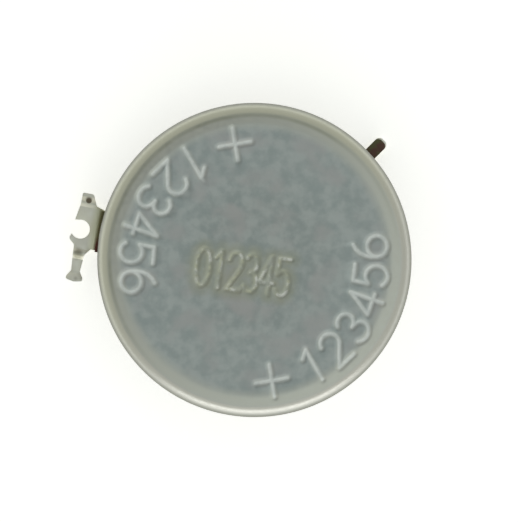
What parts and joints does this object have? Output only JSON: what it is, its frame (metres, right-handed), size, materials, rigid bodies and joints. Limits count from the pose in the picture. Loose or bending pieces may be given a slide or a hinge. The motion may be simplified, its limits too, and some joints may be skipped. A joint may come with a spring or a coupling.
{
  "type": "rechargeable button cell with hook lead",
  "caption": "Small round rechargeable watch cell: crimped steel can over a stepped cap, with a welded strip that ends in an open hook terminal and a short tongue.",
  "frame": {"origin": "on the cell's axis, in the underside of the lead's weld pad, on which the cell rests", "axes": "+Z along the cell's axis towards its positive face, +Y up the picture, the hook terminal at 169.4 degrees from +X"},
  "size_m": [0.0104, 0.0094, 0.0022],
  "materials": {
    "can_steel": "satin",
    "seal_plastic": "satin",
    "cap_steel": "satin",
    "carbon_layer": "matte",
    "negative_powder": "matte",
    "glass_fibre": "matte",
    "positive_powder": "matte",
    "amber_film": "gloss",
    "lead_metal": "satin"
  },
  "bodies": {
    "root": {"positive_can": "can_steel", "gasket": "seal_plastic", "negative_cap": "cap_steel", "negative_collector": "carbon_layer", "negative_pellet": "negative_powder", "separator": "glass_fibre", "positive_pellet": "positive_powder", "positive_collector": "carbon_layer", "insulating_film": "amber_film", "negative_lead": "lead_metal"}
  },
  "joints": []
}
